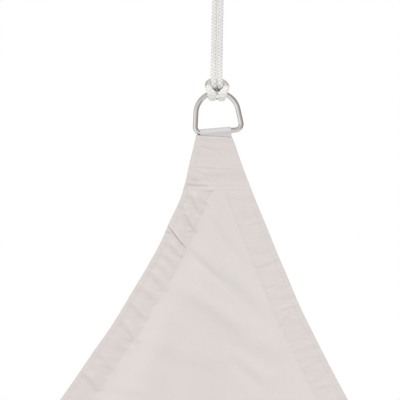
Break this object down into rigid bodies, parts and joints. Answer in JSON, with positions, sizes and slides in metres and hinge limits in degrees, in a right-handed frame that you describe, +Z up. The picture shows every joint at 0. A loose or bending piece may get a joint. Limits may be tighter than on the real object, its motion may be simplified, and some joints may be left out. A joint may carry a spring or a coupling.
{
  "type": "shade sail",
  "caption": "Triangular shade sail with hollow hemmed edges, a webbing tab and a D-ring at each corner, hung by its right-angled corner from a doubled rope.",
  "frame": {"origin": "the point of the rope's loop that rests on the hook that holds the sail", "axes": "+Z up, +X to the right along the sail's width, +Y backwards, so the patched front of the cloth faces -Y"},
  "size_m": [4.2507, 0.079, 2.2721],
  "materials": {
    "sailcloth": "plain woven cream polyester, matt",
    "webbing": "white woven strap",
    "steel": "smooth stainless wire, softly polished",
    "rope": "white braided rope"
  },
  "bodies": {
    "root": {"sail_cloth": "sailcloth", "patch_top": "sailcloth", "patch_left": "sailcloth", "patch_right": "sailcloth", "tab_top": "webbing", "tab_left": "webbing", "tab_right": "webbing", "ring_top": "steel", "ring_left": "steel", "ring_right": "steel", "hanging_rope": "rope"}
  },
  "joints": []
}
